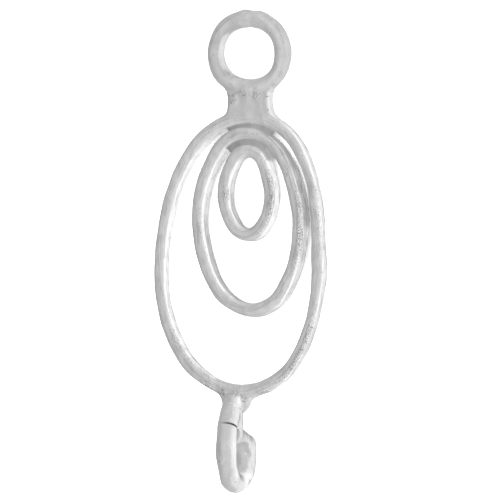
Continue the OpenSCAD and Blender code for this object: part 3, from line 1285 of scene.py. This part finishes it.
class SPACER_OT_cast(bpy.types.Operator):
    """Make the silver spacer from its sizes, in place of the plain CAD one"""

    bl_idname = "spacer.cast"
    bl_label = "Cast the spacer"
    bl_options = {"REGISTER", "UNDO"}

    def execute(self, context):
        scene = context.scene
        sizes = SimpleNamespace(
            eye=in_millimetres(scene.spacer_eye),
            ovals=in_millimetres(scene.spacer_ovals),
            loop=in_millimetres(scene.spacer_loop),
        )

        def field(x, y, z):
            return spacer_field(x, y, z, sizes)

        axes = [spaced(stops) for stops in (GRID_X, GRID_Y, GRID_Z)]
        points, quads = surface_net(field, axes)
        points = onto_surface(field, points)
        points = evened(field, points, quads, EVENINGS)
        points = onto_surface(field, points, rounds=2)
        values = marks(field, sizes, points)
        piece = add_mesh(PIECE, laid_on_table(points), quads, values)
        piece.data.materials.append(finished("cast_silver", silver_finish, scene.spacer_finish))
        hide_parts(NODE)
        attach(piece, "root")
        piece.visible_glossy = False
        print(f"{PIECE}: {len(points)} points, {2 * len(quads)} triangles")
        return {"FINISHED"}


# The picture's frame: its middle on the flat drawing, seen from the camera, and its width, in millimetres
PICTURE_RIGHT = 0.429
PICTURE_UP = 0.204
PICTURE_WIDTH = 30.0

# The camera and the table, in metres, and the sensor, in millimetres
CAMERA_AWAY = 0.5
CAMERA_SEES = (0.01, 20.0)
SENSOR = 36.0
TABLE_HALF = 1.2

# The room's bright side: which way it lies, how far it reaches along the spacer, high and low, and where it
# starts. The last two pairs are where the low part of the room and the part straight under it start.
ROOM_RIGHT = 0.906
ROOM_DOWN = 0.423
ROOM_ALONG = 0.3
ROOM_LOW_ALONG = 0.7
ROOM_BRIGHT = (0.5, 0.3)
ROOM_LOW = (0.6, 0.25)
ROOM_UNDER = (0.93, 0.05)

# The lamp, in metres
LAMP_SIZE = 0.7
LAMP_PLACE = (0.12, 0.06, 0.5)


def standing(right, up, back, place):
    """The matrix of a lamp or camera at a place that looks away from its back."""
    matrix = Matrix((right, up, back)).transposed().to_4x4()
    matrix.translation = place
    return matrix


class SPACER_OT_stage(bpy.types.Operator):
    """Make the table, the light and the camera"""

    bl_idname = "spacer.stage"
    bl_label = "Set the stage"
    bl_options = {"REGISTER", "UNDO"}

    def execute(self, context):
        look = context.scene.spacer_stage
        self.add_table(look)
        self.add_room(context, look)
        self.add_top_light(context, look)
        self.add_camera(context, look)
        return {"FINISHED"}

    def add_table(self, look):
        """The table that the spacer lies on."""
        corners = np.array([(-1, -1, 0), (1, -1, 0), (1, 1, 0), (-1, 1, 0)]) * TABLE_HALF
        table = add_mesh("table_top", corners, np.array([[0, 1, 2, 3]]), {})
        table.data.materials.append(finished("pale_table", table_finish, look))
        table.visible_glossy = False

    def add_room(self, context, look):
        """A room of soft light that gets brighter from the left to the right."""
        world = bpy.data.worlds.new("soft_room")
        world.use_nodes = True
        nodes = Nodes(world.node_tree)
        way = nodes.node("ShaderNodeTexCoord").outputs["Generated"]
        parts = nodes.node("ShaderNodeSeparateXYZ", None, {0: way})
        right = nodes.number(parts.outputs["X"])
        along = nodes.number(parts.outputs["Y"]).size()
        down = nodes.number(parts.outputs["Z"]) * -1.0
        reach = ROOM_ALONG + down.rise(*ROOM_LOW) * ROOM_LOW_ALONG
        bright = (right * ROOM_RIGHT + down * ROOM_DOWN + along * reach).rise(*ROOM_BRIGHT)
        strength = look.room + right.lowest(0.0) * look.left_slope + right.highest(0.0) * look.right_slope
        strength = strength + bright * look.low_right - down.rise(*ROOM_UNDER) * look.under
        background = nodes.node("ShaderNodeBackground", None, {"Color": (1, 1, 1, 1), "Strength": strength})
        nodes.node("ShaderNodeOutputWorld", None, {"Surface": background.outputs[0]})
        context.scene.world = world

    def add_top_light(self, context, look):
        """A big soft lamp over the table, which the silver doesn't mirror."""
        lamp = bpy.data.lights.new("top_softbox", "AREA")
        lamp.shape = "DISK"
        lamp.size = LAMP_SIZE
        lamp.energy = look.top_light
        light = bpy.data.objects.new("top_softbox", lamp)
        place = Vector(LAMP_PLACE)
        back = place.normalized()
        right = Vector((0, 1, 0)).cross(back).normalized()
        light.matrix_world = standing(right, back.cross(right), back, place)
        light.visible_glossy = False
        context.scene.collection.objects.link(light)

    def add_camera(self, context, look):
        """The camera to the right of the front, in whose picture the spacer leans."""
        turn = look.turn
        side = np.array((math.cos(turn), 0.0, -math.sin(turn)))
        along = np.array((0.0, 1.0, 0.0))
        right = side * math.cos(look.lean) + along * math.sin(look.lean)
        up = along * math.cos(look.lean) - side * math.sin(look.lean)
        back = np.array((math.sin(turn), 0.0, math.cos(turn)))
        middle = laid_on_table(right * PICTURE_RIGHT + up * PICTURE_UP)
        right, up, back = (Vector(turned_to_table(way)) for way in (right, up, back))
        lens = bpy.data.cameras.new("camera")
        lens.sensor_width = SENSOR
        lens.lens = SENSOR * CAMERA_AWAY / (PICTURE_WIDTH * MM)
        lens.clip_start, lens.clip_end = CAMERA_SEES
        camera = bpy.data.objects.new("camera", lens)
        camera.matrix_world = standing(right, up, back, Vector(middle) + back * CAMERA_AWAY)
        context.scene.collection.objects.link(camera)
        context.scene.camera = camera
        context.scene.view_settings.view_transform = "Standard"


class SPACER_PT_panel(bpy.types.Panel):
    """The spacer's steps and settings"""

    bl_idname = "SPACER_PT_panel"
    bl_label = "Silver spacer"
    bl_space_type = "VIEW_3D"
    bl_region_type = "UI"
    bl_category = "Spacer"

    def draw(self, context):
        for operator in OPERATORS:
            self.layout.operator(operator.bl_idname)
        for name, group in GROUPS.items():
            box = self.layout.box()
            box.label(text=group.__doc__)
            for setting in group.__annotations__:
                box.prop(getattr(context.scene, name), setting)


OPERATORS = (SPACER_OT_cast, SPACER_OT_stage)
CLASSES = (*GROUPS.values(), *OPERATORS, SPACER_PT_panel)


def register():
    for made in CLASSES:
        bpy.utils.register_class(made)
    for name, group in GROUPS.items():
        setattr(bpy.types.Scene, name, bpy.props.PointerProperty(type=group))


def unregister():
    for name in GROUPS:
        delattr(bpy.types.Scene, name)
    for made in reversed(CLASSES):
        bpy.utils.unregister_class(made)


def main():
    """Runs the steps in order."""
    register()
    bpy.ops.spacer.cast()
    bpy.ops.spacer.stage()


if __name__ == "__main__":
    main()
